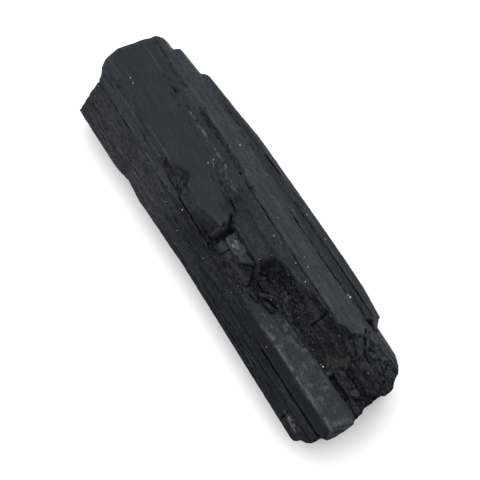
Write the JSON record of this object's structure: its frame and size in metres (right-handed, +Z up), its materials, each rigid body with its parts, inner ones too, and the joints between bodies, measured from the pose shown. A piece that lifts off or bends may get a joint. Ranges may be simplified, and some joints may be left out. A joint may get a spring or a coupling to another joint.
{
  "type": "tourmaline crystal",
  "caption": "Striated black tourmaline rod with a smooth top plate, stepped edges and broken hollows, lying on a flat face.",
  "frame": {"origin": "middle of the crystal's box, at the underside it lies on", "axes": "+X along the rod, from its smooth plated end to its broken end; +Y towards its stepped back side; +Z up"},
  "size_m": [0.078, 0.0244, 0.0175],
  "materials": {
    "black_tourmaline": "satin black mineral, striated, dull where broken"
  },
  "bodies": {
    "root": {"tourmaline_crystal": "black_tourmaline"}
  },
  "joints": []
}
